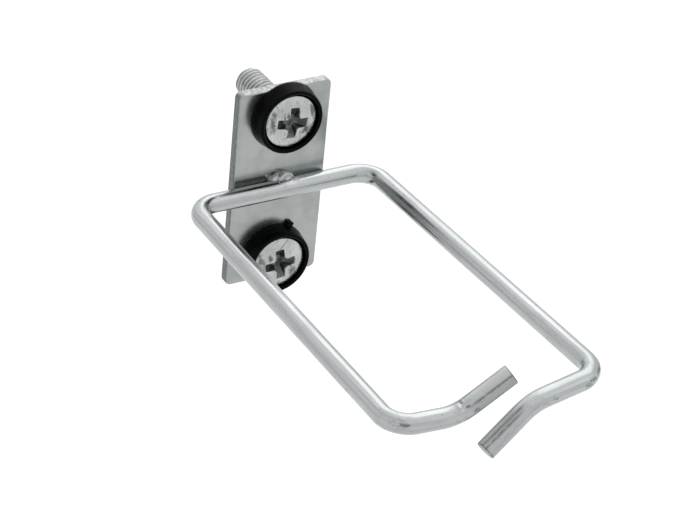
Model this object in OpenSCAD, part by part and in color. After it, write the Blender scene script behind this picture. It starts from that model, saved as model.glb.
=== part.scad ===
// Cable-management ring for a server rack: a bent rod ring welded to a small
// mounting plate, held by two screws in plastic cup washers.
// Frame: origin midway between the two screws on the plate's back face,
// +X along the plate's width, -Y out of the rack, +Z up. Millimetres.

/* [Mounting plate] */
// Width of the plate
plate_w = 20; // [16:0.5:32]
// Thickness of the plate
plate_t = 2; // [1.5:0.1:3]
// From the upper screw to the plate's top edge
top_margin = 6; // [4.7:0.1:12]
// From the lower screw to the plate's bottom edge
bottom_margin = 4.8; // [4.7:0.1:12]
// Radius of the plate's corners
plate_corner_r = 1.2; // [0.4:0.1:4]

/* [Wire ring] */
// Diameter of the rod
rod_d = 3.8; // [3:0.1:5]
// Clear width between the two legs, at the plate
ring_in_w = 35.5; // [30:0.5:50]
// Clear depth from the back bar to the front corners
ring_in_depth = 73; // [60:0.2:110]
// Inside radius of the four square corners
bend_in_r = 2.9; // [2:0.1:5]
// Inside radius of the two cranks where the tails begin
crank_in_r = 7.6; // [3:0.1:10]
// Outward lean of the left leg, in degrees
left_splay = 0.6; // [0:0.1:5]
// Outward lean of the right leg, in degrees
right_splay = 1.8; // [0:0.1:5]
// Length of the left front bar, corner to crank
left_run = 11.9; // [10:0.1:13]
// Outward lean of the left front bar, in degrees
left_run_turn = 5.5; // [2:0.5:10]
// Outward lean of the right front bar, in degrees
right_run_turn = 8; // [2:0.5:10]
// Fall of the right front bar below the level, in degrees
right_run_fall = 2.5; // [0:0.5:5]
// Length of each tail, crank to tip
tail_l = 11.9; // [9:0.1:16]
// How steeply the left tail rises and the right one falls, in degrees
tail_slope = 34.5; // [28:0.5:42]
// Clear width of the slanted mouth between the two tails
mouth_w = 5.3; // [4.2:0.1:7]
// Chamfer on the rod's cut tips
tip_chamfer = 0.2; // [0.1:0.1:0.8]
// How much the rod swells at its bends, per side
bend_swell = 0.01; // [0.01:0.01:0.1]

/* [Weld bead] */
// Length of the bead along the bar
weld_l = 5.5; // [4:0.1:8]
// Number of lobes that the bead froze in
weld_lobes = 4; // [3:1:6]
// Radius of the middle of the bead
weld_r = 1.5; // [1.2:0.1:1.8]
// Distance of the bead from the plate's centre line
weld_x = 0.2; // [-2:0.1:2]

/* [Screws] */
// Distance between the screws: two pitches of the rack's holes
screw_pitch = 31.75; // [28:0.25:60]
// Thread diameter
screw_d = 6; // [5:0.5:8]
// Length under the head
screw_l = 16; // [12:1:25]
// Pitch of the thread
thread_pitch = 1; // [0.8:0.05:1.5]
// How much thinner the plain neck is than the thread, per side
neck_step = 0.2; // [0.1:0.05:0.4]
// Chamfer at the screw's point
point_chamfer = 0.8; // [0.3:0.1:1.2]
// Diameter of the head
head_d = 11; // [10.5:0.1:13]
// Height of the head at its middle
head_h = 3; // [2.6:0.1:4]
// Radius of the head's dome
head_dome_r = 14; // [11:0.5:30]
// Radius of the head's shoulder
head_edge_r = 0.9; // [0.4:0.1:1.1]
// Across the cross recess, tip to tip
recess_d = 7.4; // [5:0.1:8]
// Width of each wing of the recess
recess_w = 1.75; // [1:0.05:2]
// Depth of the recess
recess_depth = 2; // [1.2:0.1:2.4]
// Turn of the upper recess, in degrees
upper_turn = -5; // [-45:1:45]
// Turn of the lower recess, in degrees
lower_turn = 6; // [-45:1:45]

/* [Cup washers] */
// Height of the cup's rim above the plate
cup_h = 3.4; // [2.6:0.1:4.5]
// Thickness of the cup's floor
cup_floor_t = 0.9; // [0.6:0.1:1.5]
// Thickness of the cup's wall at the rim
cup_wall_t = 0.85; // [0.5:0.05:1.5]
// How much wider the cup is at its foot than at its rim, per side
cup_flare = 0.45; // [0:0.05:1]
// Width of the moulding gate's stub
stub_w = 1.3; // [0.8:0.1:2]
// How far the stub stands out from the cup's foot
stub_out = 0.9; // [0.5:0.1:1.5]
// Height of the stub
stub_h = 1; // [0.6:0.1:1.6]
// Turn of the upper washer's stub from the top, in degrees
upper_stub_turn = -150; // [-180:1:180]
// Turn of the lower washer's stub from the top, in degrees
lower_stub_turn = -24; // [-180:1:180]

/* [Clearances] */
// Play between the thread and the plate's holes, per side
plate_play = 0.5; // [0.1:0.05:0.7]
// Play between the thread and the cup's floor, per side
cup_play = 0.2; // [0.05:0.05:0.5]
// Gap between the head and the cup's wall
head_gap = 0.35; // [0.1:0.05:0.6]

/* [Hidden] */
$fn = 96;
eps = 0.01;

// Plate
upper_z = screw_pitch / 2;
lower_z = -screw_pitch / 2;
plate_top = upper_z + top_margin;
plate_bottom = lower_z - bottom_margin;
plate_mid = (plate_top + plate_bottom) / 2;
plate_hole_d = screw_d + 2 * plate_play;

// Ring: the back bar, the legs and the left front bar lie level, at the middle of the
// plate's height; the left tail rises toward the mouth and the right one falls
rod_r = rod_d / 2;
ring_z = plate_mid;
bend_r = bend_in_r + rod_r;
crank_r = crank_in_r + rod_r;
half_w = ring_in_w / 2 + rod_r;
back_y = -plate_t - rod_r;
leg = ring_in_depth + rod_d;
back_left = [-half_w, back_y, ring_z];
back_right = [half_w, back_y, ring_z];
front_left = back_left + leg * [-tan(left_splay), -1, 0];
front_right = back_right + leg * [tan(right_splay), -1, 0];
left_crank = front_left + left_run * front_way(1, left_run_turn, 0);
left_tip = left_crank + tail_l * front_way(1, left_run_turn, tail_slope);
// The right crank lies one mouth and one rod across the slope from the left tail
right_run_way = front_way(-1, right_run_turn, -right_run_fall);
right_run = (across_slope(front_right - left_crank) - mouth_w - rod_d)
    / -across_slope(right_run_way);
right_crank = front_right + right_run * right_run_way;
right_tip = right_crank + tail_l * front_way(-1, right_run_turn, -tail_slope);
corners = [left_tip, left_crank, front_left, back_left,
           back_right, front_right, right_crank, right_tip];
radii = [0, crank_r, bend_r, bend_r, bend_r, bend_r, crank_r, 0];
// How far each straight reaches into a bend
bend_lap = 0.1;

// Cup washer and screw, in their own frame: z = 0 on the plate's front face
cup_in_r = head_d / 2 + head_gap;
cup_rim_r = cup_in_r + cup_wall_t;
cup_foot_r = cup_rim_r + cup_flare;
neck_d = screw_d - 2 * neck_step;
// Centre height of the shoulder's arc, where it runs smoothly into the dome
shoulder_r = head_d / 2 - head_edge_r;
shoulder_h = head_h - head_dome_r
    + sqrt(pow(head_dome_r - head_edge_r, 2) - pow(shoulder_r, 2));
dome_edge_r = shoulder_r * head_dome_r / (head_dome_r - head_edge_r);

// ---- Bent rod -------------------------------------------------------------
// Direction of a front piece: side 1 runs to the right and -1 to the left, turned
// outward and rising by the two angles
function front_way(side, turn, rise) =
    [side * cos(turn) * cos(rise), -sin(turn) * cos(rise), sin(rise)];
// How far a step goes across the tails' slope, toward the right and downward
function across_slope(v) = v[0] * sin(tail_slope) - v[2] * cos(tail_slope);
// Direction of the straight from corner i to the next
function way(p, i) = (p[i + 1] - p[i]) / norm(p[i + 1] - p[i]);
// Turn at corner i, from 0 to 180 degrees
function turn(p, i) = acos(way(p, i - 1) * way(p, i));
// How much of each straight the bend at corner i takes up
function setback(p, r, i) =
    i == 0 || i == len(p) - 1 ? 0 : r[i] * tan(turn(p, i) / 2);

// The straight rod from corner i to the next, with a chamfer where it ends in a
// tip; it reaches a little way into each bend
module rod_run(p, r, i, d) {
    along = way(p, i);
    in = i == 0 ? 0 : setback(p, r, i) - bend_lap;
    out = i == len(p) - 2 ? 0 : setback(p, r, i + 1) - bend_lap;
    length = norm(p[i + 1] - p[i]) - in - out;
    foot_cut = i == 0 ? tip_chamfer : 0;
    head_cut = i == len(p) - 2 ? tip_chamfer : 0;
    translate(p[i] + in * along)
        rotate([0, acos(along[2]), atan2(along[1], along[0])])
            rotate_extrude()
                polygon([[0, 0], [d / 2 - foot_cut, 0], [d / 2, foot_cut],
                         [d / 2, length - head_cut], [d / 2 - head_cut, length],
                         [0, length]]);
}

// The bend at corner i, in the plane of its two straights
module rod_bend(p, r, i, d) {
    from = way(p, i - 1);
    axis = cross(from, way(p, i)) / norm(cross(from, way(p, i)));
    inward = cross(axis, from);
    centre = p[i] - setback(p, r, i) * from + r[i] * inward;
    multmatrix([[-inward[0], from[0], axis[0], centre[0]],
                [-inward[1], from[1], axis[1], centre[1]],
                [-inward[2], from[2], axis[2], centre[2]],
                [0, 0, 0, 1]])
        rotate_extrude(angle = turn(p, i))
            translate([r[i], 0])
                circle(r = d / 2 + bend_swell);
}

module bent_rod(p, r, d) {
    last = len(p) - 1;
    for (i = [0 : last - 1])
        rod_run(p, r, i, d);
    for (i = [1 : last - 1])
        rod_bend(p, r, i, d);
}

// ---- Mounting plate ---------------------------------------------------------
module rounded_outline(w, h, r) {
    square([w - 2 * r, h], center = true);
    square([w, h - 2 * r], center = true);
    for (x = [-1, 1], y = [-1, 1])
        translate([x * (w / 2 - r), y * (h / 2 - r)])
            circle(r = r);
}

module mounting_plate() {
    color("silver")
        rotate([90, 0, 0])
            linear_extrude(height = plate_t)
                difference() {
                    translate([0, plate_mid])
                        rounded_outline(plate_w, plate_top - plate_bottom, plate_corner_r);
                    for (z = [upper_z, lower_z])
                        translate([0, z])
                            circle(d = plate_hole_d);
                }
}

// ---- Wire ring ----------------------------------------------------------------
module wire_ring() {
    color("gainsboro")
        bent_rod(corners, radii, rod_d);
}

// ---- Weld bead ------------------------------------------------------------------
// Overlapping lobes in the corner over the back bar, smaller toward both ends.
// The bead lies on the bar and on the plate and fills the corner between them.
module weld_bead() {
    middle = (weld_lobes - 1) / 2;
    end_r = 0.8 * weld_r;
    step = (weld_l - 2 * end_r) / (weld_lobes - 1);
    color("darkgray")
        difference() {
            for (i = [0 : weld_lobes - 1]) {
                r = weld_r - (weld_r - end_r) * pow(abs(i - middle) / middle, 2);
                translate([weld_x + (i - middle) * step, -plate_t - 0.35 * weld_r,
                           ring_z + rod_r - 0.4 * weld_r])
                    rotate([0, 90, 0])
                        sphere(r = r);
            }
            // The plate, and the root of the corner that the bead doesn't reach
            translate([weld_x - weld_l, 0, 0])
                rotate([90, 0, 90])
                    linear_extrude(height = 2 * weld_l)
                        polygon([[-plate_t, ring_z + 2 * rod_d], [0, ring_z + 2 * rod_d],
                                 [0, ring_z - rod_d], [back_y - rod_d, ring_z - rod_d],
                                 [back_y - rod_d, ring_z + 0.4 * rod_r],
                                 [-plate_t, ring_z + 0.4 * rod_r]]);
            translate([weld_x - weld_l, back_y, ring_z])
                rotate([0, 90, 0])
                    cylinder(h = 2 * weld_l, d = rod_d);
        }
}

// ---- Screws ---------------------------------------------------------------------
module head_profile() {
    square([head_d / 2, shoulder_h]);
    translate([shoulder_r, shoulder_h])
        circle(r = head_edge_r);
    intersection() {
        square([dome_edge_r, head_h + eps]);
        translate([0, head_h - head_dome_r])
            circle(r = head_dome_r);
    }
}

// Two crossing wings with sloping ends, round a conical middle
module cross_recess() {
    foot = 0.35 * recess_d;
    for (a = [0, 90])
        rotate([0, 0, a])
            rotate([90, 0, 0])
                translate([0, 0, -recess_w / 2])
                    linear_extrude(height = recess_w)
                        polygon([[-foot / 2, -recess_depth], [foot / 2, -recess_depth],
                                 [recess_d / 2, 0], [recess_d / 2, head_h],
                                 [-recess_d / 2, head_h], [-recess_d / 2, 0]]);
    translate([0, 0, -recess_depth])
        cylinder(h = recess_depth, r1 = 0.5 * foot, r2 = 0.72 * recess_w + 0.5 * foot);
}

// The threaded length, from its point up to the plate's back face. Rings of the
// thread's form and pitch stand for the helix; a plain land lies next to the plate.
module threaded_shank(length) {
    r = screw_d / 2;
    flank = thread_pitch * 5 / 16;
    depth = flank / tan(30);
    groove_w = thread_pitch * 7 / 8;
    land = thread_pitch / 2;
    grooves = floor((length - point_chamfer - land) / thread_pitch);
    rotate_extrude()
        polygon([[0, 0], [r - point_chamfer, 0], [r, point_chamfer],
                 for (i = [grooves - 1 : -1 : 0])
                     let (top = length - land - i * thread_pitch)
                     each [[r, top - groove_w], [r - depth, top - groove_w + flank],
                           [r - depth, top - flank], [r, top]],
                 [r, length], [0, length]]);
}

module screw(z, recess_turn) {
    shank = screw_l - cup_floor_t - plate_t;
    color("lightslategray")
        translate([0, -plate_t, z])
            rotate([90, 0, 0]) {
                difference() {
                    translate([0, 0, cup_floor_t])
                        rotate_extrude()
                            head_profile();
                    translate([0, 0, cup_floor_t + head_h])
                        rotate([0, 0, recess_turn])
                            cross_recess();
                }
                translate([0, 0, -plate_t])
                    cylinder(h = plate_t + cup_floor_t, d = neck_d);
                translate([0, 0, -plate_t - shank])
                    threaded_shank(shank);
            }
}

module screw_upper() {
    screw(upper_z, upper_turn);
}

module screw_lower() {
    screw(lower_z, lower_turn);
}

// ---- Cup washers ------------------------------------------------------------------
module cup_profile() {
    rim_r = cup_wall_t / 2;
    polygon([[screw_d / 2 + cup_play, 0], [cup_foot_r, 0],
             [cup_rim_r, cup_h - rim_r], [cup_in_r, cup_h - rim_r],
             [cup_in_r, cup_floor_t], [screw_d / 2 + cup_play, cup_floor_t]]);
    translate([cup_in_r + rim_r, cup_h - rim_r])
        circle(r = rim_r);
}

// The stub that the moulding gate leaves on the cup's foot
module gate_stub() {
    tip = cup_foot_r + stub_out - stub_w / 2;
    linear_extrude(height = stub_h) {
        translate([-stub_w / 2, cup_foot_r - cup_wall_t])
            square([stub_w, tip - cup_foot_r + cup_wall_t]);
        translate([0, tip])
            circle(d = stub_w);
    }
}

module cup_washer(z, stub_turn) {
    color([0.1, 0.1, 0.11])
        translate([0, -plate_t, z])
            rotate([90, 0, 0]) {
                rotate_extrude()
                    cup_profile();
                rotate([0, 0, stub_turn])
                    gate_stub();
            }
}

module cup_washer_upper() {
    cup_washer(upper_z, upper_stub_turn);
}

module cup_washer_lower() {
    cup_washer(lower_z, lower_stub_turn);
}

mounting_plate();
wire_ring();
weld_bead();
screw_upper();
screw_lower();
cup_washer_upper();
cup_washer_lower();
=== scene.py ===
"""Rack cable ring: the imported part, dressed with plated steel, weld, threads and moulded plastic."""

import math

import bmesh
import bpy
from mathutils import Matrix, Vector, noise


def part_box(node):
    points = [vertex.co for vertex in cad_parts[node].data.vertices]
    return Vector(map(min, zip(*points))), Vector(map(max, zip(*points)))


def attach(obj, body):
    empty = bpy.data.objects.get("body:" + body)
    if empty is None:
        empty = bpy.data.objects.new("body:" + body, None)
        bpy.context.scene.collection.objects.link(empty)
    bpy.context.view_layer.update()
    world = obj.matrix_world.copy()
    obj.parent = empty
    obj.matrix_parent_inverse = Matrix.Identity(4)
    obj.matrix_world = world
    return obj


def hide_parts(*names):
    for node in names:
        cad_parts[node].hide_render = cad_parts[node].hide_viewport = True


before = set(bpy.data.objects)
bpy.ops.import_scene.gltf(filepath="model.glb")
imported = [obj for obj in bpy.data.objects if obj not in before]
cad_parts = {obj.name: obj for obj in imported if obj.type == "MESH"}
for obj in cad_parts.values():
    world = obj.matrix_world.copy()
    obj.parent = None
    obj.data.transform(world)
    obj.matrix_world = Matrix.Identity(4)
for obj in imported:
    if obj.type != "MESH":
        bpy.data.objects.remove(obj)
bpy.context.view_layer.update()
scene = bpy.context.scene
MM = 0.001


# ---- Sizes, from the CAD model where it can give them ------------------------------------------
plate_lo, plate_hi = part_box("mounting_plate")
ring_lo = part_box("wire_ring")[0]
PLATE_T = -plate_lo.y
CORNER_R = 1.2 * MM
HOLE_R = 3.5 * MM

# The ring: its back bar lies across the plate's middle, and its radii are those inside the bends
RING_Z = (plate_lo.z + plate_hi.z) / 2
ROD_R = 1.9 * MM
CLEAR_HALF_W = 17.75 * MM
CLEAR_DEPTH = 73 * MM
MOUTH = 5.3 * MM
BEND_R = 2.9 * MM
CRANK_R = 7.6 * MM
CRANK_RUN = 11.9 * MM
TAIL_L = 11.9 * MM
# In degrees: how far the legs lean outward, and how the front bars and the tails turn out and rise
LEFT_LEAN, RIGHT_LEAN = 0.6, 1.8
LEFT_TURN, RIGHT_TURN = 5.5, 8
RIGHT_RISE = -2.5
TAIL_SLOPE = 34.5

# The screws and the cups that their heads sit in
SCREW_Z = 15.875 * MM
SHANK_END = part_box("screw_upper")[1].y
HEAD_H = 3.0 * MM
HEAD_R = 5.5 * MM
DOME_R = 14.0 * MM
SHOULDER = 0.28 * MM
NECK_R = 2.8 * MM
MINOR_R, MAJOR_R, PITCH = 2.46 * MM, 3.0 * MM, 1.0 * MM
FLOOR_T = 0.9 * MM
CUP_H = 3.4 * MM
CUP_BORE_R = 3.2 * MM
CUP_IN_R = 5.85 * MM
CUP_RIM_R = 6.7 * MM
CUP_FOOT_R = 7.15 * MM


# ---- Wear and painted light: where the tools touched the metal ---------------------------------
# Marks of the bending tools on the rod: mm from the left tip, degrees round the rod from its right
# side, length in mm, breadth in degrees, strength
TOOL_MARKS = (
    (10.1, 92, 0.45, 26, 1.1),
    (9.4, 134, 0.6, 10, 1.15),
    (8.4, 178, 0.7, 9, 1.0),
    (21.4, 154, 0.9, 18, 0.7),
    (208.4, 140, 1.6, 12, 1.15),
    (210.5, 144, 1.7, 10, 1.35),
    (212.3, 156, 1.3, 13, 1.4),
    (213.7, 174, 1.1, 16, 1.35),
    (222.5, 168, 4.5, 8, 0.7),
    (34.0, 200, 2.5, 30, 0.4),
    (98.5, 170, 3.0, 30, 0.5),
    (140.0, 190, 2.5, 30, 0.5),
    (226.0, 60, 1.2, 30, 0.35),
)
# Metal that the tools pushed up beside their marks, in the same terms
BURRS = ((10.8, 104, 0.5, 24, 1.0), (10.7, 138, 0.6, 12, 0.9))
DENT_DEPTH, BURR_HEIGHT = 0.12 * MM, 0.05 * MM
# Where round the rod the bending jaw pressed its groove, into the left and the right tail
# The dark line along that groove is a painted reflection; the tails' painted shade and sheen turn with it
JAW_TURNS = math.radians(147), math.radians(118)
# The tails' own look ends a little before the crank's corner and fades out towards that place
TAIL_STOP, TAIL_FADE = 2.0 * MM, 2.5 * MM
# The breadth of the dark line round the tips
TIP_RIM = 0.38 * MM
# Where the weld's heat reached the rod: its middle and its reach, along the rod and round it
WELD_AT, WELD_REACH = 117.6 * MM, 2.3 * MM
WELD_TURN, WELD_SPREAD = 72, 34
# Where the driver scuffed the heads, and, in the first row, a painted dark reflection of the cup's wall
# along the head's left edge: x, y, half width and half height in mm, strength
SCUFFS_AND_REFLECTION = (
    (-4.3, 0.8, 0.9, 2.6, 1.0),
    (4.4, 2.4, 0.7, 1.3, 0.8),
    (-1.8, 1.6, 1.2, 0.8, 0.7),
    (2.7, -2.0, 1.3, 0.8, 0.8),
)
# The driver's long scratch on the lower head: its two directions in the face, and its place along each
GOUGE_ALONG, GOUGE_ACROSS = Vector((0.775, 0, 0.632)), Vector((-0.632, 0, 0.775))
GOUGE_CENTRE = Vector((0.55 * MM, 0, 4.15 * MM - SCREW_Z))
GOUGE_MIDDLE, GOUGE_OFFSET = GOUGE_CENTRE.dot(GOUGE_ALONG), GOUGE_CENTRE.dot(GOUGE_ACROSS)


# ---- Materials ---------------------------------------------------------------------------------
class Nodes:
    """Short names for the few node kinds that the materials use."""

    def __init__(self, name):
        self.mat = bpy.data.materials.new(name)
        self.mat.use_nodes = True
        self.tree = self.mat.node_tree
        self.tree.nodes.clear()
        self.shader = self.new("BsdfPrincipled")
        self.link(self.shader.outputs["BSDF"], self.new("OutputMaterial").inputs["Surface"])

    def new(self, kind):
        return self.tree.nodes.new("ShaderNode" + kind)

    def link(self, output, socket):
        self.tree.links.new(output, socket)

    def put(self, value, socket):
        """Give a socket another node's output, a plain value or a colour of three parts."""
        if hasattr(value, "links"):
            self.link(value, socket)
        elif socket.type == "RGBA":
            socket.default_value = (*value, 1.0)
        else:
            socket.default_value = value

    def feed(self, node, **values):
        """Give a node's sockets their values by name."""
        for name, value in values.items():
            self.put(value, node.inputs[name.replace("_", " ")])

    def place(self):
        """The point's place in the part, in metres."""
        return self.new("TexCoord").outputs["Object"]

    def stored(self, attribute):
        """The outputs for what the mesh stores for each point under a name."""
        node = self.new("Attribute")
        node.attribute_name = attribute
        return node.outputs

    def vector(self, attribute):
        """A vector that the mesh stores for each point."""
        return self.stored(attribute)["Vector"]

    def value(self, attribute):
        """A number that the mesh stores for each point."""
        return self.stored(attribute)["Fac"]

    def axes(self, vector):
        """The vector's parts, by the names X, Y and Z."""
        node = self.new("SeparateXYZ")
        self.link(vector, node.inputs[0])
        return node.outputs

    def noise(self, at, scale, detail=3.0, rough=0.55):
        """Cloudy noise from 0 to 1: scale is in waves per metre, one number or one for each axis."""
        if isinstance(scale, tuple):
            stretched = self.new("VectorMath")
            stretched.operation = "MULTIPLY"
            self.link(at, stretched.inputs[0])
            stretched.inputs[1].default_value = scale
            at, scale = stretched.outputs["Vector"], 1.0
        node = self.new("TexNoise")
        self.feed(node, Vector=at, Scale=scale, Detail=detail, Roughness=rough)
        return node.outputs["Fac"]

    def span(self, value, low, high, to_low=0.0, to_high=1.0):
        """A smooth step from to_low, where value is low, to to_high, where it is high."""
        node = self.new("MapRange")
        node.interpolation_type = "SMOOTHSTEP"
        for i, v in enumerate((value, low, high, to_low, to_high)):
            self.put(v, node.inputs[i])
        return node.outputs["Result"]

    def band(self, at, way, place, half, fade):
        """1 where the distance along way from place is less than half, falling to 0 at fade."""
        node = self.new("VectorMath")
        node.operation = "DOT_PRODUCT"
        self.link(at, node.inputs[0])
        node.inputs[1].default_value = way
        gap = self.math("ABSOLUTE", self.math("SUBTRACT", node.outputs["Value"], place))
        return self.span(gap, half, fade, 1, 0)

    def math(self, operation, a, b=0.0):
        node = self.new("Math")
        node.operation = operation
        self.put(a, node.inputs[0])
        self.put(b, node.inputs[1])
        return node.outputs["Value"]

    def plus(self, a, b):
        return self.math("ADD", a, b)

    def times(self, a, b):
        return self.math("MULTIPLY", a, b)

    def mix(self, factor, a, b):
        """Colour a where factor is 0, turning into colour b where it is 1."""
        node = self.new("Mix")
        node.data_type = "RGBA"
        for i, v in ((0, factor), (6, a), (7, b)):
            self.put(v, node.inputs[i])
        return node.outputs[2]

    def bump(self, height, strength, distance, below=None):
        """The normal of a relief, laid over the relief below."""
        node = self.new("Bump")
        self.feed(node, Height=height, Strength=strength, Distance=distance)
        if below is not None:
            self.link(below, node.inputs["Normal"])
        return node.outputs["Normal"]


def drawn_steel(n, along, wide_lines, blotch):
    """The rod's own colour: grey and pale draw lines, soft blotches and pits."""
    pits = n.noise(along, (2200, 3200, 3200), detail=1)
    base = n.mix(n.span(wide_lines, 0.35, 0.68), (0.39, 0.41, 0.415), (0.465, 0.48, 0.48))
    base = n.mix(n.span(blotch, 0.5, 0.75, 0, 0.5), base, (0.36, 0.375, 0.38))
    return n.mix(n.span(pits, 0.66, 0.74, 0, 0.55), base, (0.2, 0.205, 0.21))


def tool_scars(n, base, along, marked):
    """Dark scars all along, most of them where the tools pressed, with bright flecks there that are painted
    glints.
    """
    scar = n.noise(along, (420, 900, 900), detail=5, rough=0.7)
    scar = n.span(n.plus(scar, n.times(marked, 0.30)), 0.64, 0.78)
    base = n.mix(n.times(scar, 0.85), base, (0.12, 0.125, 0.12))
    # Painted glints: bright flecks in the tool marks
    painted_glints = n.noise(along, (2600, 3600, 3600), detail=2)
    painted_glints = n.span(n.plus(painted_glints, n.times(marked, 0.06)), 0.62, 0.70, 0, 0.8)
    return n.mix(n.times(painted_glints, n.span(marked, 0.5, 0.9)), base, (0.62, 0.63, 0.62))


def dull_tails_with_painted_shade(n, base, tail, scuff):
    """The tails' duller plating, mottled darker, with painted shade on one side of each tail and a painted
    sheen on the other side of the left one.
    """
    tail_shade_and_sheen = n.value("tail_shade_and_sheen")
    base = n.mix(n.times(tail, n.span(scuff, 0.35, 0.7, 0, 0.35)), base, (0.34, 0.36, 0.355))
    base = n.mix(n.span(tail_shade_and_sheen, 0, 1, 0, 0.7), base, (0.29, 0.305, 0.30))
    return n.mix(n.span(tail_shade_and_sheen, -1, -0.2, 0.75, 0), base, (0.52, 0.535, 0.53))


def jaw_groove_painted_dark(n, along, tail, scuff):
    """How much of the line along each tail shows at a point: a faint groove that the bending jaw pressed,
    with a painted dark reflection along it.
    """
    jaw = n.axes(n.vector("jaw"))
    wander = n.noise(along, (120, 300, 300), detail=2)
    across = n.plus(jaw["Y"], n.span(wander, 0.2, 0.8, -0.18 * MM, 0.18 * MM))
    line = n.span(n.math("ABSOLUTE", across), 0.05 * MM, 0.42 * MM, 1, 0)
    line = n.times(line, n.math("GREATER_THAN", jaw["Z"], 0.0))
    return n.times(n.times(line, tail), n.span(scuff, 0.25, 0.5, 0.35, 1))


def zinc_rod():
    """Bright plated rod: draw lines along it, scuffed bends, tool marks with painted glints and painted
    highlights on their burrs, and duller tails with painted shade, sheen and a painted dark reflection line.
    """
    n = Nodes("zinc_rod")
    along = n.vector("straight")
    tail, bend, marked, fused = n.value("tail"), n.value("bend"), n.value("marked"), n.value("fused")
    wide_lines = n.noise(along, (35, 1500, 1500), detail=2)
    fine_lines = n.noise(along, (60, 6000, 6000), detail=3)
    blotch = n.noise(along, (160, 420, 420), detail=3)
    scuff = n.noise(along, (900, 1400, 1400), detail=4)
    line = jaw_groove_painted_dark(n, along, tail, scuff)
    rim = n.times(n.span(n.value("rim"), 0.15, 0.8), n.span(scuff, 0.3, 0.5, 0.35, 0.9))
    # Painted highlight: the burrs beside the tool marks are painted pale
    burr_highlight = n.times(n.span(n.value("burr_highlight"), 0.3, 0.9), n.span(scuff, 0.42, 0.56, 0.15, 1))

    base = drawn_steel(n, along, wide_lines, blotch)
    base = n.mix(n.times(bend, n.span(scuff, 0.5, 0.68, 0, 0.5)), base, (0.27, 0.28, 0.28))
    base = tool_scars(n, base, along, marked)
    base = dull_tails_with_painted_shade(n, base, tail, scuff)
    base = n.mix(n.times(fused, n.span(scuff, 0.4, 0.6, 0.2, 1)), base, (0.62, 0.63, 0.63))
    # Painted reflection: the dark line along each tail
    base = n.mix(n.times(line, 0.85), base, (0.15, 0.155, 0.155))
    base = n.mix(rim, base, (0.15, 0.155, 0.155))
    base = n.mix(burr_highlight, base, (0.76, 0.77, 0.76))

    rough = n.span(blotch, 0.3, 0.7, 0.18, 0.27)
    rough = n.plus(rough, n.times(tail, 0.14))
    rough = n.plus(rough, n.times(bend, 0.04))

    normal = n.bump(wide_lines, 0.5, 0.05 * MM)
    normal = n.bump(fine_lines, 0.35, 0.01 * MM, normal)
    normal = n.bump(blotch, 0.35, 0.06 * MM, normal)
    normal = n.bump(n.math("SUBTRACT", n.times(scuff, tail), line), 0.5, 0.06 * MM, normal)
    normal = n.bump(n.times(scuff, n.math("MAXIMUM", marked, fused)), 1.0, 0.3 * MM, normal)
    n.feed(n.shader, Base_Color=base, Roughness=rough, Normal=normal)
    n.shader.inputs["Metallic"].default_value = 1.0
    return n.mat


def zinc_plate():
    """Satin plated sheet: fine grain, faint rolling marks, bright torn ends and dull slit sides, darkened
    further by a painted dark reflection.
    """
    n = Nodes("zinc_plate")
    at = n.place()
    facing = n.axes(n.new("NewGeometry").outputs["True Normal"])
    edge = n.span(n.math("ABSOLUTE", facing["Y"]), 0.55, 0.9, 1, 0)
    side = n.span(n.math("ABSOLUTE", facing["X"]), 0.5, 0.9)
    grain = n.noise(at, 5200, detail=2)
    cloud = n.noise(at, 260, detail=2)
    rolled = n.noise(at, (3000, 3000, 90), detail=2)
    torn = n.noise(at, (1500, 700, 1500), detail=4, rough=0.65)

    base = n.mix(n.span(cloud, 0.35, 0.65), (0.335, 0.356, 0.352), (0.388, 0.406, 0.402))
    base = n.mix(n.span(rolled, 0.5, 0.72, 0, 0.2), base, (0.32, 0.335, 0.33))
    end_base = n.mix(n.span(torn, 0.4, 0.62), (0.28, 0.295, 0.295), (0.44, 0.455, 0.455))
    # The slit sides: dull bare steel, made darker still as a painted dark reflection
    side_steel_and_painted_reflection = n.mix(n.span(torn, 0.4, 0.62), (0.135, 0.147, 0.15), (0.19, 0.205, 0.208))
    base = n.mix(edge, base, n.mix(side, end_base, side_steel_and_painted_reflection))
    rough = n.plus(n.span(grain, 0.3, 0.7, 0.22, 0.27), n.times(edge, 0.18))

    normal = n.bump(cloud, 0.2, 0.06 * MM)
    normal = n.bump(grain, 0.25, 0.003 * MM, normal)
    normal = n.bump(n.times(edge, torn), 0.5, 0.04 * MM, normal)
    n.feed(n.shader, Base_Color=base, Roughness=rough, Normal=normal)
    n.shader.inputs["Metallic"].default_value = 1.0
    return n.mat


def weld_metal():
    """Bare weld metal: bright on its ripples, grey in their troughs, with fine crust."""
    n = Nodes("weld_metal")
    at = n.place()
    crust = n.noise(at, 2600, detail=4)
    tint = n.noise(at, 700, detail=3)
    base = n.mix(n.span(tint, 0.35, 0.65), (0.50, 0.515, 0.525), (0.66, 0.67, 0.68))
    base = n.mix(n.span(n.value("trough"), 0.3, 0.95, 0, 0.7), base, (0.24, 0.245, 0.25))
    base = n.mix(n.span(crust, 0.62, 0.72, 0, 0.5), base, (0.2, 0.2, 0.2))
    rough = n.span(crust, 0.3, 0.7, 0.22, 0.38)
    normal = n.bump(crust, 0.3, 0.05 * MM)
    n.feed(n.shader, Base_Color=base, Roughness=rough, Normal=normal)
    n.shader.inputs["Metallic"].default_value = 0.4
    return n.mat


def driver_scratches(n, at, face):
    """Faint scratches, all at one slant, on the heads' faces."""
    turned = n.new("VectorRotate")
    turned.rotation_type = "Y_AXIS"
    n.feed(turned, Vector=at, Angle=math.radians(38))
    scratch = n.noise(turned.outputs["Vector"], (4200, 4200, 170), detail=2)
    return n.times(n.span(scratch, 0.65, 0.70, 0, 0.6), face)


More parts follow.
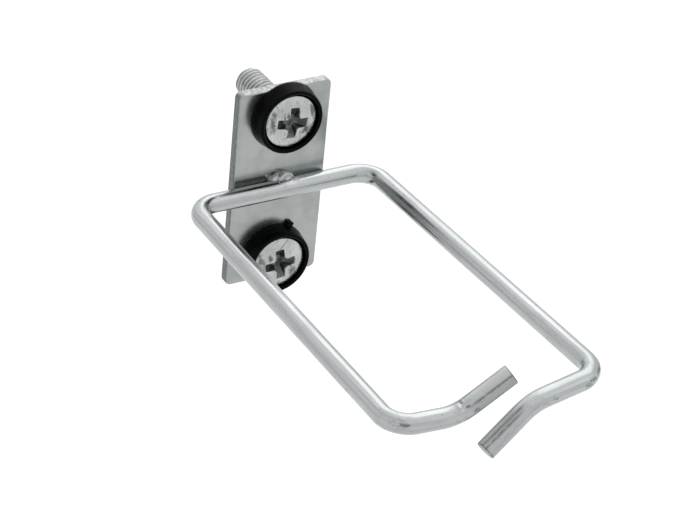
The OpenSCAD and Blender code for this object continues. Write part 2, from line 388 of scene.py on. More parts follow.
def long_gouge(n, at, face):
    """The one long scratch on the lower head."""
    gouge = n.times(n.band(at, GOUGE_ACROSS, GOUGE_OFFSET, 0.06 * MM, 0.14 * MM), face)
    return n.times(gouge, n.band(at, GOUGE_ALONG, GOUGE_MIDDLE, 1.2 * MM, 1.8 * MM))


def screw_steel():
    """Plated screw: bright head with scuffs, a painted dark reflection at its left edge and driver
    scratches, painted shade in the recess, and threads with painted shade in their valleys.
    """
    n = Nodes("screw_steel")
    at = n.place()
    recess, scuff_and_reflection, face = n.value("recess"), n.value("scuff_and_reflection"), n.value("face")
    speck = n.noise(at, 1900, detail=4, rough=0.65)
    cloud = n.noise(at, 420, detail=3)
    smear = n.noise(at, (700, 700, 260), detail=5, rough=0.7)
    scratch = driver_scratches(n, at, face)
    gouge = long_gouge(n, at, face)

    base = n.mix(n.span(cloud, 0.35, 0.65), (0.44, 0.458, 0.45), (0.53, 0.545, 0.54))
    # The dark smudges: dirt, and at the head's left edge a painted dark reflection of the cup's wall
    smudge_and_reflection = n.span(n.plus(smear, n.times(scuff_and_reflection, 0.22)), 0.56, 0.70, 0, 0.95)
    base = n.mix(smudge_and_reflection, base, (0.12, 0.125, 0.125))
    spots = n.span(n.plus(speck, n.times(scuff_and_reflection, 0.06)), 0.62, 0.72, 0, 0.7)
    base = n.mix(spots, base, (0.20, 0.21, 0.21))
    glints = n.span(n.math("SUBTRACT", speck, n.times(scuff_and_reflection, 0.05)), 0.25, 0.34, 0.7, 0)
    base = n.mix(glints, base, (0.8, 0.81, 0.8))
    base = n.mix(scratch, base, (0.2, 0.21, 0.21))
    chromate = n.times(n.span(cloud, 0.52, 0.66, 0, 0.6), scuff_and_reflection)
    base = n.mix(chromate, base, (0.56, 0.535, 0.44))
    base = n.mix(n.times(gouge, 0.8), base, (0.16, 0.165, 0.16))
    # Painted shade in the recess and in the thread's valleys
    painted_recess_shade = n.mix(n.span(smear, 0.4, 0.6), (0.05, 0.059, 0.056), (0.13, 0.145, 0.136))
    base = n.mix(n.times(recess, 0.95), base, painted_recess_shade)
    rough = n.plus(n.span(speck, 0.3, 0.7, 0.16, 0.32), n.times(recess, 0.2))

    normal = n.bump(speck, 0.2, 0.04 * MM)
    normal = n.bump(smear, 0.25, 0.12 * MM, normal)
    normal = n.bump(n.plus(scratch, gouge), -0.4, 0.04 * MM, normal)
    n.feed(n.shader, Base_Color=base, Roughness=rough, Normal=normal)
    n.shader.inputs["Metallic"].default_value = 1.0
    return n.mat


def black_plastic():
    """Smooth black moulded plastic, slightly greyer and duller where it is scuffed."""
    n = Nodes("black_plastic")
    at = n.place()
    orange_peel = n.noise(at, 1500, detail=2)
    scuff = n.noise(at, 520, detail=4)
    base = n.mix(n.span(scuff, 0.5, 0.75), (0.0012, 0.0016, 0.0015), (0.0035, 0.004, 0.0038))
    rough = n.span(scuff, 0.3, 0.7, 0.16, 0.3)
    normal = n.bump(orange_peel, 0.12, 0.05 * MM)
    n.feed(n.shader, Base_Color=base, Roughness=rough, Normal=normal)
    n.shader.inputs["Specular IOR Level"].default_value = 0.045
    return n.mat


# ---- Mesh helpers ------------------------------------------------------------------------------
def clamp(value):
    return min(1.0, max(0.0, value))


def piece(name, mesh, material, node, flat_faces=False):
    """A finished mesh as a piece that rides the part and stands for one CAD node."""
    mesh.validate()
    mesh.shade_smooth()
    mesh.materials.append(material)
    obj = bpy.data.objects.new(name, mesh)
    scene.collection.objects.link(obj)
    if flat_faces:
        obj.modifiers.new("normals", "WEIGHTED_NORMAL").weight = 90
    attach(obj, "root")
    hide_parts(node)
    return obj


def mesh_of(name, verts, faces):
    """A mesh of points and of faces that list them."""
    mesh = bpy.data.meshes.new(name)
    mesh.from_pydata(verts, [], faces)
    return mesh


def mesh_from(bm, name):
    """A mesh of what was built up in bm, which ends here."""
    mesh = bpy.data.meshes.new(name)
    bm.to_mesh(mesh)
    bm.free()
    return mesh


def mend(mesh, merge=0.0):
    """Turn a mesh's faces outward, after merging the points that lie closer together than merge."""
    bm = bmesh.new()
    bm.from_mesh(mesh)
    if merge:
        bmesh.ops.remove_doubles(bm, verts=bm.verts, dist=merge)
    bmesh.ops.recalc_face_normals(bm, faces=bm.faces)
    bm.to_mesh(mesh)
    bm.free()


def attribute(mesh, name, values):
    """Store a number or a vector for each point of a mesh, for its material to read."""
    vectors = isinstance(values[0], Vector)
    data = mesh.attributes.new(name, "FLOAT_VECTOR" if vectors else "FLOAT", "POINT").data
    for item, value in zip(data, values):
        if vectors:
            item.vector = value
        else:
            item.value = value


def tube_faces(rows, count, inward=False):
    """Quads of a tube whose points come in rows of count, one after the other."""
    faces = []
    for i in range(rows - 1):
        for k in range(count):
            m = (k + 1) % count
            a, b = (m, k) if inward else (k, m)
            faces.append((i * count + a, i * count + b, (i + 1) * count + b, (i + 1) * count + a))
    return faces


def lathe(profile, count):
    """Verts and faces of a turning round +Z. The profile's points are (radius, height), and it starts
    and ends on the axis or comes back to its first point."""
    verts, rings, faces = [], [], []
    for r, h in profile:
        if r < 1e-9:
            rings.append([len(verts)])
            verts.append(Vector((0, 0, h)))
        else:
            rings.append(list(range(len(verts), len(verts) + count)))
            for k in range(count):
                a = 2 * math.pi * k / count
                verts.append(Vector((r * math.cos(a), r * math.sin(a), h)))
    for low, high in zip(rings, rings[1:]):
        for k in range(count):
            m = (k + 1) % count
            if len(low) == 1:
                faces.append((low[0], high[m], high[k]))
            elif len(high) == 1:
                faces.append((low[k], low[m], high[0]))
            else:
                faces.append((low[k], low[m], high[m], high[k]))
    return verts, faces


def arc(cx, cy, r, start, end, steps):
    """Points of an arc in a profile, in degrees."""
    return [
        (cx + r * math.cos(math.radians(start + (end - start) * i / steps)),
         cy + r * math.sin(math.radians(start + (end - start) * i / steps)))
        for i in range(steps + 1)
    ]


def on_plate(z):
    """Puts a turned piece, made with +Z outward from the plate's front face, at a height on the plate."""
    return Matrix.Translation((0, -PLATE_T, z)) @ Matrix.Rotation(math.radians(90), 4, "X")


# ---- Bent rod ----------------------------------------------------------------------------------
def front_way(side, turn, rise):
    """Direction of a front piece: side 1 runs right and -1 left, turned outward and rising by two angles."""
    turn, rise = math.radians(turn), math.radians(rise)
    return Vector((side * math.cos(turn) * math.cos(rise), -math.sin(turn) * math.cos(rise), math.sin(rise)))


def ring_corners():
    """Corners of the rod's centre line, from the left tail's tip to the right one's."""
    half, leg, back = CLEAR_HALF_W + ROD_R, CLEAR_DEPTH + 2 * ROD_R, -PLATE_T - ROD_R
    back_left, back_right = Vector((-half, back, RING_Z)), Vector((half, back, RING_Z))
    front_left = back_left + leg * Vector((-math.tan(math.radians(LEFT_LEAN)), -1, 0))
    front_right = back_right + leg * Vector((math.tan(math.radians(RIGHT_LEAN)), -1, 0))
    left_crank = front_left + CRANK_RUN * front_way(1, LEFT_TURN, 0)
    # The right bar ends where the two tails are the mouth's width apart
    slope = math.radians(TAIL_SLOPE)
    across = Vector((math.sin(slope), 0, -math.cos(slope)))
    way = front_way(-1, RIGHT_TURN, RIGHT_RISE)
    apart = MOUTH + 2 * ROD_R
    right_crank = front_right + way * ((across.dot(front_right - left_crank) - apart) / -across.dot(way))
    left_tip = left_crank + TAIL_L * front_way(1, LEFT_TURN, TAIL_SLOPE)
    right_tip = right_crank + TAIL_L * front_way(-1, RIGHT_TURN, -TAIL_SLOPE)
    return [left_tip, left_crank, front_left, back_left, back_right, front_right, right_crank, right_tip]


def bent_path(corners, radii, step, bend_step):
    """Stations along a bent rod, and its length. A station is (point, heading, way to the bend's inside,
    distance from the first tip, how far into a bend from 0 to 1)."""
    stations, walked, last = [], 0.0, corners[0]

    def straight(a, b, inside):
        nonlocal walked
        length, heading = (b - a).length, (b - a).normalized()
        count = max(2, round(length / step))
        for i in range(1 if stations else 0, count + 1):
            stations.append((a + (b - a) * i / count, heading, inside, walked + length * i / count, 0.0))
        walked += length

    for i in range(1, len(corners) - 1):
        u = (corners[i] - corners[i - 1]).normalized()
        v = (corners[i + 1] - corners[i]).normalized()
        turn = u.angle(v)
        axis = u.cross(v).normalized()
        inward = axis.cross(u)
        start = corners[i] - u * radii[i] * math.tan(turn / 2)
        straight(last, start, inward)
        count = max(4, round(math.degrees(turn) / bend_step))
        for k in range(1, count + 1):
            a = turn * k / count
            inside = inward * math.cos(a) - u * math.sin(a)
            heading = u * math.cos(a) + inward * math.sin(a)
            point = start + inward * radii[i] - inside * radii[i]
            into_bend = math.sin(math.pi * k / count)
            stations.append((point, heading, inside, walked + radii[i] * a, into_bend))
        walked += radii[i] * turn
        last = stations[-1][0]
    straight(last, corners[-1], stations[-1][2])
    return stations, walked


def strongest(marks, s, angle):
    """How strong the strongest of some marks is, at a distance along the rod and an angle round it."""
    angle = math.degrees(angle)
    return max(strength * math.exp(-((s / MM - place) / length) ** 2 - ((angle - turn) / breadth) ** 2)
               for place, turn, length, breadth, strength in marks)


def squeezed(into_bend, inner):
    """The radius that a bend leaves, as a share: less inside, and least at its middle, where it was held.
    inner is 1 at the bend's inside and -1 at its outside."""
    share = 1 - 0.022 * into_bend * max(0.0, inner) ** 2 - 0.012 * into_bend * max(0.0, -inner)
    return share - 0.02 * max(0.0, into_bend - 0.93) / 0.07 * max(0.0, inner) ** 4


def rod_looks(s, angle, r, into_bend, mark, burr, tail_end, total):
    """What the material reads at a point of the rod, s along it and angle round it."""
    right = s > total / 2
    from_jaw = angle - JAW_TURNS[right]
    tail = max(clamp((tail_end - s) / TAIL_FADE), clamp((s - (total - tail_end)) / TAIL_FADE))
    # Painted shade on one side of each tail, and a painted sheen on the other side of the left one
    if right:
        tail_shade_and_sheen = tail * max(0.0, -math.sin(from_jaw)) ** 0.5
    else:
        tail_shade_and_sheen = tail * math.copysign(abs(math.sin(from_jaw)) ** 0.5, math.sin(from_jaw))
    round_weld = (math.degrees(angle) - WELD_TURN) / WELD_SPREAD
    return {
        "straight": Vector((s, r * math.cos(angle), r * math.sin(angle))),
        "jaw": Vector((s, r * math.sin(from_jaw), r * math.cos(from_jaw))),
        "tail": tail,
        "bend": into_bend,
        "marked": mark,
        "tail_shade_and_sheen": tail_shade_and_sheen,
        "burr_highlight": burr,
        "rim": max(0.0, 1 - min(s, total - s) / TIP_RIM),
        "fused": math.exp(-((s - WELD_AT) / WELD_REACH) ** 2 - round_weld ** 2),
    }


def rod_mesh():
    """The bent rod with its tool marks and sheared tips, and what its material reads at every point."""
    corners = ring_corners()
    crank, bend = CRANK_R + ROD_R, BEND_R + ROD_R
    radii = [0, crank, bend, bend, bend, bend, crank, 0]
    path, total = bent_path(corners, radii, step=0.4 * MM, bend_step=2.0)
    tail_end = (corners[1] - corners[0]).length - TAIL_STOP
    count = 48
    verts, looks = [], {}

    def add_point(point, values):
        verts.append(point)
        for name, value in values.items():
            looks.setdefault(name, []).append(value)

    def add_row(point, heading, inside, s, into_bend, scale=1.0):
        # Angles run from the rod's right side over its top, so the draw lines don't twist in the bends
        side = heading.cross(Vector((0, 0, 1))).normalized()
        up = side.cross(heading)
        for k in range(count):
            a = 2 * math.pi * k / count
            out = side * math.cos(a) + up * math.sin(a)
            wobble = 1 + 0.005 * noise.noise(Vector((s * 250, 3 * math.cos(a), 3 * math.sin(a))))
            mark, burr = strongest(TOOL_MARKS, s, a), strongest(BURRS, s, a)
            r = ROD_R * scale * squeezed(into_bend, out.dot(inside)) * wobble
            r = r - DENT_DEPTH * mark ** 2 + BURR_HEIGHT * burr
            add_point(point + out * r, rod_looks(s, a, r, into_bend, mark, burr, tail_end, total))

    def tip_rows(end):
        """The rounded-over rim of a tip, in the order along the rod."""
        point, heading, inside, s, _ = path[end]
        sign = 1 if end == 0 else -1
        rows = [(0.90, 0.0), (0.965, 0.05 * MM), (0.995, 0.14 * MM), (1.0, 0.3 * MM)]
        made = [(point + heading * sign * inset, heading, inside, s + sign * inset, 0.0, scale)
                for scale, inset in rows]
        return made[::sign]

    def close_tip(end, first):
        """The sheared end face: nearly flat, with the step where the metal broke away."""
        point, heading = path[end][:2]
        out = -heading if end == 0 else heading
        ring, faces = list(range(first, first + count)), []
        for shrink in (0.8, 0.6, 0.4, 0.2, 0.0):
            inner = list(range(len(verts), len(verts) + count))
            for k in range(first, first + count):
                spoke = (verts[k] - point) * shrink
                step = 0.07 * MM if (verts[k] - point).z * shrink > 0.1 * ROD_R else 0.0
                rough = 0.03 * MM * noise.noise((point + spoke) / (0.5 * MM))
                plain = dict.fromkeys(looks, 0.0)
                plain.update(straight=looks["straight"][k], jaw=looks["jaw"][k], tail=1.0, marked=0.4)
                add_point(point + spoke - out * (0.02 * MM + step) + out * rough, plain)
            for k in range(count):
                m = (k + 1) % count
                faces.append((ring[k], ring[m], inner[m], inner[k]))
            ring = inner
        return faces

    for row in [*tip_rows(0), *path[1:-1], *tip_rows(-1)]:
        add_row(*row)
    rows = len(verts) // count
    faces = tube_faces(rows, count)
    faces += close_tip(0, 0)
    faces += close_tip(-1, (rows - 1) * count)
    mesh = mesh_of("ring", verts, faces)
    for name, values in looks.items():
        attribute(mesh, name, values)
    mend(mesh, merge=1e-7)
    return mesh


# ---- Plate -------------------------------------------------------------------------------------
def plate_mesh():
    """The sheet with rolled-over front edges, a small burr-side chamfer at the back, and its two holes."""
    half_w = (plate_hi.x - plate_lo.x) / 2
    half_h = (plate_hi.z - plate_lo.z) / 2
    # How far the edge stands back, in mm, at depths from -1, the front face, to 0, the back one
    levels = [(0.38, -1.0), (0.2, -0.985), (0.08, -0.94), (0.015, -0.86), (0.0, -0.75),
              (0.0, -0.06), (0.05, -0.02), (0.1, 0.0)]

    def outer(inset):
        points = []
        for sx, sz, start in ((1, 1, 0), (-1, 1, 90), (-1, -1, 180), (1, -1, 270)):
            cx, cz = sx * (half_w - CORNER_R), RING_Z + sz * (half_h - CORNER_R)
            points += arc(cx, cz, CORNER_R - inset, start, start + 90, 10)
        return points

    def hole(z, inset):
        sides = 64
        return arc(0, z, HOLE_R + inset, 0, 360 - 360 / sides, sides - 1)

    def upper_hole(inset):
        return hole(SCREW_Z, inset)

    def lower_hole(inset):
        return hole(-SCREW_Z, inset)

    bm = bmesh.new()
    rims = {0: [], len(levels) - 1: []}
    for outline in (outer, upper_hole, lower_hole):
        previous = None
        for i, (inset, depth) in enumerate(levels):
            loop = [bm.verts.new((x, depth * PLATE_T, z)) for x, z in outline(inset * MM)]
            steps = [(k, (k + 1) % len(loop)) for k in range(len(loop))]
            if previous:
                for k, m in steps:
                    bm.faces.new((previous[k], previous[m], loop[m], loop[k]))
            if i in rims:
                for k, m in steps:
                    rims[i].append(bm.edges.get((loop[k], loop[m])) or bm.edges.new((loop[k], loop[m])))
            previous = loop
    for edges in rims.values():
        bmesh.ops.triangle_fill(bm, use_beauty=True, use_dissolve=False, edges=edges)
    bmesh.ops.recalc_face_normals(bm, faces=bm.faces)
    return mesh_from(bm, "plate")


# ---- Weld bead ---------------------------------------------------------------------------------
def bead_mesh():
    """The bead in the corner over the back bar, in ripples that ran out from the pool that froze last."""
    lo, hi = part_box("weld_bead")
    # In mm: the bead's middle and half length, its radius, the ripples' pitch and the pool's middle
    mid_x, half_l = (lo.x + hi.x) / 2 / MM, (hi.x - lo.x) / 2 / MM
    cy, cz = -PLATE_T / MM - 0.55, RING_Z / MM + 1.25
    bead_r, ripple = 1.5, 0.95
    pool = Vector((mid_x + 0.9, cy - 1.0, cz - 0.6))
    across, along = 72, 96
    verts, troughs = [], []
    for i in range(along + 1):
        u = -1 + 2 * i / along
        girth = math.sqrt(max(0.0, 1 - abs(u) ** 2.4)) ** 0.8
        centre = Vector((mid_x + u * half_l * 0.98, cy, cz))
        swell = 0.13 * math.exp(-((u - 0.15) / 0.3) ** 2)
        for k in range(across):
            a = 2 * math.pi * k / across
            out = Vector((0, 0.95 * math.cos(a), math.sin(a)))
            at = centre + out * bead_r * girth
            wave = math.sin(2 * math.pi * (at - pool).length / ripple + 0.8 * noise.noise(at / 1.3))
            lump = 0.09 * noise.noise(at / 1.1 + Vector((7, 0, 0))) + swell
            r = bead_r * girth * (1 + 0.045 * wave + lump)
            verts.append((centre + out * r) * MM)
            troughs.append(0.5 - 0.5 * wave)
    bead = mesh_of("bead", verts, tube_faces(along + 1, across))
    attribute(bead, "trough", troughs)
    return bead


def weld_mesh():
    """The bead, closed at its ends, with a few grains of spatter beside it."""
    bm = bmesh.new()
    bm.from_mesh(bead_mesh())
    bmesh.ops.remove_doubles(bm, verts=bm.verts, dist=1e-6)
    # Places and radii of the grains, in mm
    for x, y, z, r in ((-2.9, -2.05, 3.0, 0.16), (3.1, -2.0, 3.3, 0.2), (1.6, -2.0, 4.0, 0.13),
                       (2.9, -4.0, 2.45, 0.17), (-1.2, -4.3, 2.4, 0.15)):
        grain = bmesh.ops.create_icosphere(bm, subdivisions=2, radius=r * MM)
        for v in grain["verts"]:
            v.co *= 1 + 0.3 * noise.noise(v.co / (0.15 * MM) + Vector((x, y, z)))
        bmesh.ops.translate(bm, vec=Vector((x, y, z)) * MM, verts=grain["verts"])
    bmesh.ops.recalc_face_normals(bm, faces=bm.faces)
    return mesh_from(bm, "weld")


# ---- Screws ------------------------------------------------------------------------------------
def recess_cutter(turn):
    """The driver's recess as a solid: four wings with sloping ends, and ribs cut away between them."""
    # In mm: depth under the head's top, the wings' reach and their half width
    levels = [(-2.0, 1.1, 0.5), (-1.9, 1.3, 0.66), (-0.6, 3.15, 0.93), (0.0, 3.7, 1.02), (0.6, 4.15, 1.1)]
    end_x, end_y, rib = 0.15, 0.18, 0.44
    verts = []
    for depth, reach, half in levels:
        wing = ((reach - end_x, -half), (reach, -half + end_y), (reach, half - end_y), (reach - end_x, half),
                (half + rib, half), (half, half + rib))
        for q in range(4):
            a = math.radians(turn + 90 * q)
            for x, y in wing:
                across, along = x * math.cos(a) - y * math.sin(a), x * math.sin(a) + y * math.cos(a)
                verts.append(Vector((across, along, depth)) * MM)
    count = len(verts) // len(levels)
    faces = tube_faces(len(levels), count)
    faces.append(tuple(range(count - 1, -1, -1)))
    faces.append(tuple(range(len(verts) - count, len(verts))))
    cutter = mesh_of("cutter", verts, faces)
    cutter.transform(Matrix.Translation((0, 0, HEAD_H)))
    return cutter


def head_profile():
    """(radius, height) over the cup's floor, from the middle of the underside to that of the dome."""
    mid_r = HEAD_R - SHOULDER
    mid_h = HEAD_H - DOME_R + math.sqrt((DOME_R - SHOULDER) ** 2 - mid_r**2)
    edge = math.degrees(math.acos(mid_r / (DOME_R - SHOULDER)))
    points = [(0, 0.02 * MM), (NECK_R, 0.02 * MM), (HEAD_R - 0.25 * MM, 0.0),
              (HEAD_R - 0.06 * MM, 0.06 * MM), (HEAD_R, 0.25 * MM), (HEAD_R, mid_h * 0.6)]
    points += arc(mid_r, mid_h, SHOULDER, 0, edge, 10)
    points += arc(0, HEAD_H - DOME_R, DOME_R, edge, 90, 16)[1:-1]
    points.append((0, HEAD_H))
    return points


def thread(start, end):
    """Verts and faces of an outer thread from start down to end along -Z, closed at both ends."""
    count, rows_a_turn = 60, 12
    # The root's flat and the flank as shares of half a pitch, the run-out's length, the point's radius
    root, flank = 0.12, 0.72
    runout, point_r = 0.6 * PITCH, 2.0 * MM
    rows = round((start - end) / PITCH * rows_a_turn)
    verts = []
    for i in range(rows + 1):
        h = start + (end - start) * i / rows
        point_limit = max(MINOR_R - 0.15 * MM + (h - end) * 0.75, point_r)
        for k in range(count):
            a = 2 * math.pi * k / count
            phase = ((start - h) / PITCH + a / (2 * math.pi)) % 1
            tooth = clamp((abs(phase - 0.5) * 2 - root) / flank)
            r = min(MINOR_R + (MAJOR_R - MINOR_R) * tooth, point_limit)
            if r > MINOR_R:
                r = MINOR_R + (r - MINOR_R) * min(1.0, (start - h) / runout)
            verts.append(Vector((r * math.cos(a), r * math.sin(a), h)))
    faces = tube_faces(rows + 1, count, inward=True)
    verts += [Vector((0, 0, end)), Vector((0, 0, start))]
    for k in range(count):
        m = (k + 1) % count
        faces.append((rows * count + m, rows * count + k, len(verts) - 2))
        faces.append((k, m, len(verts) - 1))
    return verts, faces


def cut_head(turn):
    """The head over the cup's floor, with the recess cut into it and all its edges softened."""
    head = bpy.data.objects.new("head", mesh_of("head", *lathe(head_profile(), count=128)))
    cutter = bpy.data.objects.new("cutter", recess_cutter(turn))
    for obj in (head, cutter):
        scene.collection.objects.link(obj)
        mend(obj.data)
    cut = head.modifiers.new("cut", "BOOLEAN")
    cut.operation = "DIFFERENCE"
    cut.object = cutter
    cut.solver = "EXACT"
    soft = head.modifiers.new("soft", "BEVEL")
    soft.width = 0.11 * MM
    soft.segments = 3
    soft.limit_method = "ANGLE"
    soft.angle_limit = math.radians(28)
    bpy.context.view_layer.update()
    made = bpy.data.meshes.new_from_object(head.evaluated_get(bpy.context.evaluated_depsgraph_get()))
    for obj in (head, cutter):
        bpy.data.objects.remove(obj)
    made.transform(Matrix.Translation((0, 0, FLOOR_T)))
    return made


def mark_screw(bm):
    """Say which points are in the recess or in the thread's valleys, where shade is painted, which are on
    the head's face, and how scuffed they are, with the painted reflection at the head's left edge.
    """
    inside = bm.verts.layers.float.new("recess")
    scuff_and_reflection_layer = bm.verts.layers.float.new("scuff_and_reflection")
    face = bm.verts.layers.float.new("face")
    for v in bm.verts:
        r = math.hypot(v.co.x, v.co.y)
        dome = FLOOR_T + HEAD_H - DOME_R + math.sqrt(DOME_R**2 - r * r)
        sunk = 0.2 * MM < dome - v.co.z < 2.4 * MM and v.co.z > FLOOR_T + 0.5 * MM
        v[inside] = 1.0 if sunk and r < 4.0 * MM else 0.0
        if v.co.z > FLOOR_T + 0.2 * MM:
            x, y = v.co.x / MM, v.co.y / MM
            v[face] = 1.0
            v[scuff_and_reflection_layer] = max(strength * math.exp(-((x - mid_x) / half_w) ** 2 - ((y - mid_y) / half_h) ** 2)
                          for mid_x, mid_y, half_w, half_h, strength in SCUFFS_AND_REFLECTION)
        else:
            # Painted shade in the thread's valleys, darkest at their roots
            v[inside] = 0.75 * clamp((MAJOR_R - r) / (MAJOR_R - MINOR_R))


def screw_mesh(z, turn):
    """A screw at a height on the plate, with its recess turned by some degrees."""
    neck = [(0, -PLATE_T - 0.02 * MM), (2.4 * MM, -PLATE_T - 0.02 * MM), (NECK_R, -PLATE_T + 0.15 * MM),
            (NECK_R, FLOOR_T + 0.1 * MM), (0, FLOOR_T + 0.1 * MM)]
    bm = bmesh.new()
    bm.from_mesh(cut_head(turn))
    bmesh.ops.remove_doubles(bm, verts=bm.verts, dist=2e-6)
    for verts, faces in (lathe(neck, count=60), thread(-PLATE_T, -PLATE_T - SHANK_END)):
        bm.from_mesh(mesh_of("shank", verts, faces))
    bmesh.ops.recalc_face_normals(bm, faces=bm.faces)
    mark_screw(bm)
    bm.transform(on_plate(z))
    return mesh_from(bm, "screw")


# ---- Cup washers -------------------------------------------------------------------------------
def cup_profile():
    """(radius, height) round the cup's wall, from its bore under the foot and over the rim and back."""
    rim = (CUP_RIM_R - CUP_IN_R) / 2
    top, foot_h = CUP_H - rim, 0.2 * MM
    lip_r = CUP_BORE_R + 0.1 * MM
    points = [(CUP_BORE_R, FLOOR_T - 0.1 * MM), (CUP_BORE_R, 0.1 * MM), (lip_r, 0),
              (CUP_FOOT_R - 0.18 * MM, 0), (CUP_FOOT_R - 0.04 * MM, 0.05 * MM), (CUP_FOOT_R, foot_h)]
    for i in range(1, 6):
        points.append((CUP_FOOT_R + (CUP_RIM_R - CUP_FOOT_R) * i / 6, foot_h + (top - foot_h) * i / 6))
    points += arc(CUP_IN_R + rim, top, rim, 0, 180, 14)
    points += [(CUP_IN_R, FLOOR_T + 0.15 * MM), (CUP_IN_R - 0.12 * MM, FLOOR_T), (lip_r, FLOOR_T),
               (CUP_BORE_R, FLOOR_T - 0.1 * MM)]
    return points


def gate_stub(turn, seed):
    """The stub on the cup's foot, torn at its outer end, where the plastic came into the mould."""
    stub = bmesh.new()
    bmesh.ops.create_cube(stub, size=1.0)
    bmesh.ops.scale(stub, vec=(1.3 * MM, 1.7 * MM, 1.0 * MM), verts=stub.verts)
    bmesh.ops.bevel(stub, geom=stub.edges, offset=0.28 * MM, segments=3, profile=0.6, affect="EDGES")
    bmesh.ops.subdivide_edges(stub, edges=stub.edges, cuts=2, use_grid_fill=True)
    for v in stub.verts:
        torn = max(0.0, v.co.y / (0.85 * MM))
        v.co += noise.noise_vector(v.co / (0.45 * MM) + Vector((seed, 0, 0))) * (0.16 * MM * torn)
    bmesh.ops.translate(stub, vec=(0, CUP_FOOT_R + 0.05 * MM, 0.5 * MM), verts=stub.verts)
    turned = Matrix.Rotation(math.radians(turn), 3, "Z")
    bmesh.ops.rotate(stub, cent=(0, 0, 0), matrix=turned, verts=stub.verts)
    return mesh_from(stub, "stub")


def cup_mesh(z, turn, seed):
    """The moulded cup: flared foot, rolled rim, and the torn stub where its gate was."""
    bm = bmesh.new()
    bm.from_mesh(mesh_of("cup", *lathe(cup_profile(), count=128)))
    bmesh.ops.remove_doubles(bm, verts=bm.verts, dist=1e-7)
    bm.from_mesh(gate_stub(turn, seed))
    bmesh.ops.recalc_face_normals(bm, faces=bm.faces)
    bm.transform(on_plate(z))
    return mesh_from(bm, "cup")


# ---- The pieces --------------------------------------------------------------------------------
steel, plastic = screw_steel(), black_plastic()
piece("bent_rod", rod_mesh(), zinc_rod(), "wire_ring")
piece("sheet_plate", plate_mesh(), zinc_plate(), "mounting_plate", flat_faces=True)
piece("weld_lumps", weld_mesh(), weld_metal(), "weld_bead")
for end, side, recess_turn, stub_turn in (("upper", 1, -5, -150), ("lower", -1, 6, -24)):
    screw = screw_mesh(side * SCREW_Z, recess_turn)
    piece(f"threaded_screw_{end}", screw, steel, f"screw_{end}", flat_faces=True)
    cup = cup_mesh(side * SCREW_Z, stub_turn, 5 + side)
    piece(f"moulded_cup_{end}", cup, plastic, f"cup_washer_{end}")


# ---- Floor, light and camera -------------------------------------------------------------------
def seen_directly(tree):
    """1 for rays from the camera, and for those that metal and glass send on."""
    path = tree.nodes.new("ShaderNodeLightPath")
    total = path.outputs["Is Camera Ray"]
    for name in ("Is Glossy Ray", "Is Transmission Ray"):
        add = tree.nodes.new("ShaderNodeMath")
        add.operation = "ADD"
        add.use_clamp = True
        tree.links.new(total, add.inputs[0])
        tree.links.new(path.outputs[name], add.inputs[1])
        total = add.outputs["Value"]
    return total


def make_floor(drop, glow_level):
    """A white floor, drop below the ring, that glows a little for the camera and in reflections."""
    half = 3.0
    corners = [(-half, -half, 0), (half, -half, 0), (half, half, 0), (-half, half, 0)]
    mesh = mesh_of("floor", corners, [(0, 1, 2, 3)])
    floor = bpy.data.objects.new("floor", mesh)
    floor.location.z = ring_lo.z - drop
    scene.collection.objects.link(floor)
    mat = bpy.data.materials.new("floor")
    mat.use_nodes = True
    tree = mat.node_tree
    tree.nodes.clear()
    out = tree.nodes.new("ShaderNodeOutputMaterial")
    diffuse = tree.nodes.new("ShaderNodeBsdfDiffuse")
    diffuse.inputs["Color"].default_value = (0.8, 0.8, 0.8, 1)
    glow = tree.nodes.new("ShaderNodeEmission")
    add = tree.nodes.new("ShaderNodeAddShader")
    level = tree.nodes.new("ShaderNodeMath")
    level.operation = "MULTIPLY"
    level.inputs[1].default_value = glow_level
    tree.links.new(seen_directly(tree), level.inputs[0])
    tree.links.new(level.outputs["Value"], glow.inputs["Strength"])
    tree.links.new(diffuse.outputs["BSDF"], add.inputs[0])
    tree.links.new(glow.outputs["Emission"], add.inputs[1])
    tree.links.new(add.outputs["Shader"], out.inputs["Surface"])
    mesh.materials.append(mat)


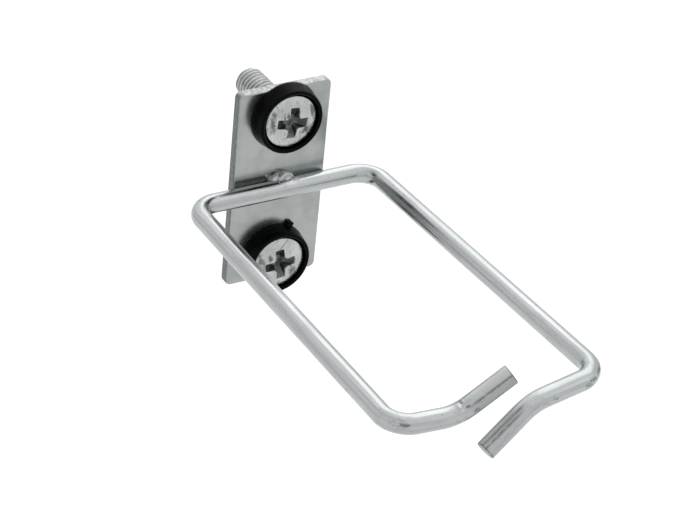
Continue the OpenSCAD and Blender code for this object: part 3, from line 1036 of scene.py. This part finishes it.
def make_world(ambient, seen):
    """A white surround of strength seen to the camera and in reflections, and ambient to matt surfaces."""
    world = bpy.data.worlds.new("studio")
    scene.world = world
    world.use_nodes = True
    tree = world.node_tree
    tree.nodes.clear()
    out = tree.nodes.new("ShaderNodeOutputWorld")
    background = tree.nodes.new("ShaderNodeBackground")
    background.inputs["Color"].default_value = (1, 1, 1, 1)
    strength = tree.nodes.new("ShaderNodeMapRange")
    strength.inputs["To Min"].default_value = ambient
    strength.inputs["To Max"].default_value = seen
    tree.links.new(seen_directly(tree), strength.inputs["Value"])
    tree.links.new(strength.outputs["Result"], background.inputs["Strength"])
    tree.links.new(background.outputs["Background"], out.inputs["Surface"])


def aim(obj, target, back, distance, right):
    """Put a lamp or camera at a distance from target in the direction back, facing it."""
    turned = Matrix((right, back.cross(right), back)).transposed().to_4x4()
    obj.matrix_world = Matrix.Translation(target + back * distance) @ turned


def softbox(name, toward, distance, width, height, radiance, across=(1, 0, 0)):
    """A plain rectangular lamp that faces the part from the direction toward."""
    lamp = bpy.data.lights.new(name, "AREA")
    lamp.shape = "RECTANGLE"
    lamp.size, lamp.size_y = width, height
    lamp.energy = radiance * math.pi * width * height
    obj = bpy.data.objects.new(name, lamp)
    scene.collection.objects.link(obj)
    back = Vector(toward).normalized()
    right = (Vector(across) - back * Vector(across).dot(back)).normalized()
    aim(obj, Vector((0, -0.04, 0)), back, distance, right)


def make_camera(azimuth, elevation, roll, target, distance, lens):
    """The camera, as the photo was taken: angles in degrees, lens in mm."""
    a, e, r = (math.radians(v) for v in (azimuth, elevation, roll))
    back = Vector((math.sin(a) * math.cos(e), -math.cos(a) * math.cos(e), math.sin(e)))
    level = Vector((math.cos(a), math.sin(a), 0))
    above = back.cross(level)
    data = bpy.data.cameras.new("camera")
    data.lens, data.sensor_width = lens, 36
    data.clip_start = 0.01
    obj = bpy.data.objects.new("camera", data)
    scene.collection.objects.link(obj)
    aim(obj, target, back, distance, level * math.cos(r) + above * math.sin(r))
    scene.camera = obj


make_floor(drop=0.16, glow_level=0.42)
make_world(ambient=0.6, seen=1.0)
softbox("overhead", toward=(0.40, -0.05, 0.90), distance=1.2, width=1.6, height=2.3, radiance=0.28)
softbox("window", toward=(0.46, 0.45, 0.75), distance=1.0, width=0.60, height=0.90, radiance=0.85,
        across=(0.85, 0, -0.5))
softbox("back", toward=(0.21, 0.83, 0.52), distance=1.1, width=1.4, height=0.55, radiance=0.36,
        across=(0.93, 0, -0.38))
make_camera(azimuth=-33.075, elevation=32.013, roll=6.022, target=Vector((-1.079, -32.0, 0.465)) * MM,
            distance=500.64 * MM, lens=138.455)

scene.view_settings.view_transform = "Standard"
